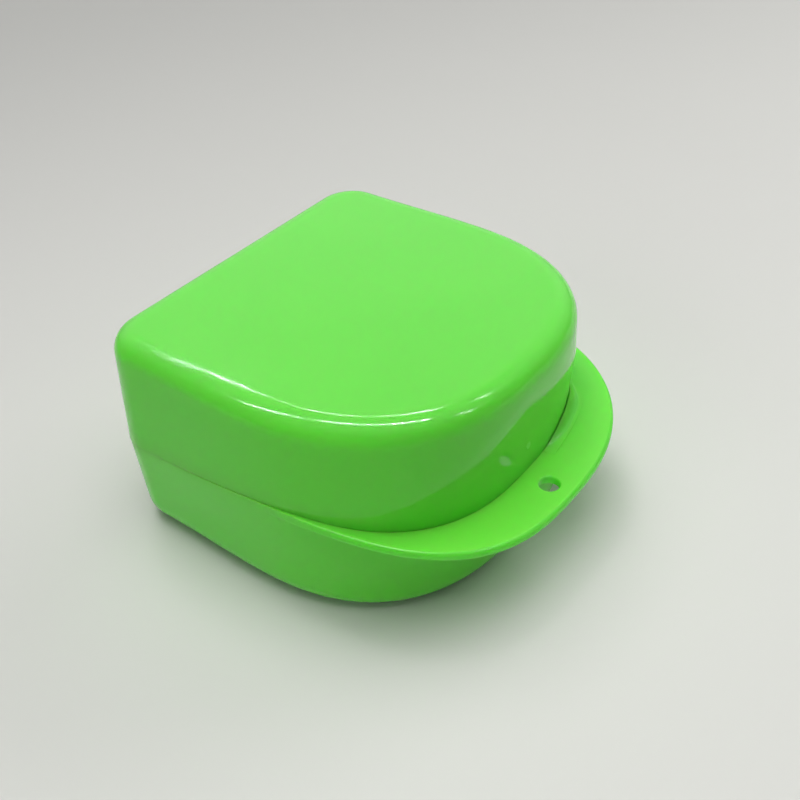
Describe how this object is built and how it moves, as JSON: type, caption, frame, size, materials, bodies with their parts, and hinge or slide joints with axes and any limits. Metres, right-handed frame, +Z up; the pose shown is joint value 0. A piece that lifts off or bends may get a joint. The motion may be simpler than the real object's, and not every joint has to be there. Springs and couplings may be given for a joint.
{
  "type": "denture case",
  "caption": "Hinged box for a denture: a rounded-front tray with a crescent flange and cord hole, and a domed lid with a finger scoop that opens at the back.",
  "frame": {"origin": "middle of the bottom of the closed case's bounding box, on the surface that it stands on", "axes": "+Z up, +Y towards the hinge at the back, -Y towards the flange and its cord hole, +X along the hinge"},
  "size_m": [0.0784, 0.0858, 0.045],
  "materials": {
    "green_polypropylene": "glossy injection-moulded polypropylene, light leaf green, slightly translucent"
  },
  "bodies": {
    "base": {"base_tray": "green_polypropylene"},
    "lid": {"lid": "green_polypropylene"}
  },
  "joints": [
    {"name": "lid_hinge", "type": "hinge", "parent": "base", "child": "lid", "pos_m": [0, 0.0405, 0.0207], "axis": [-1, 0, 0], "range_deg": [0, 145]}
  ]
}
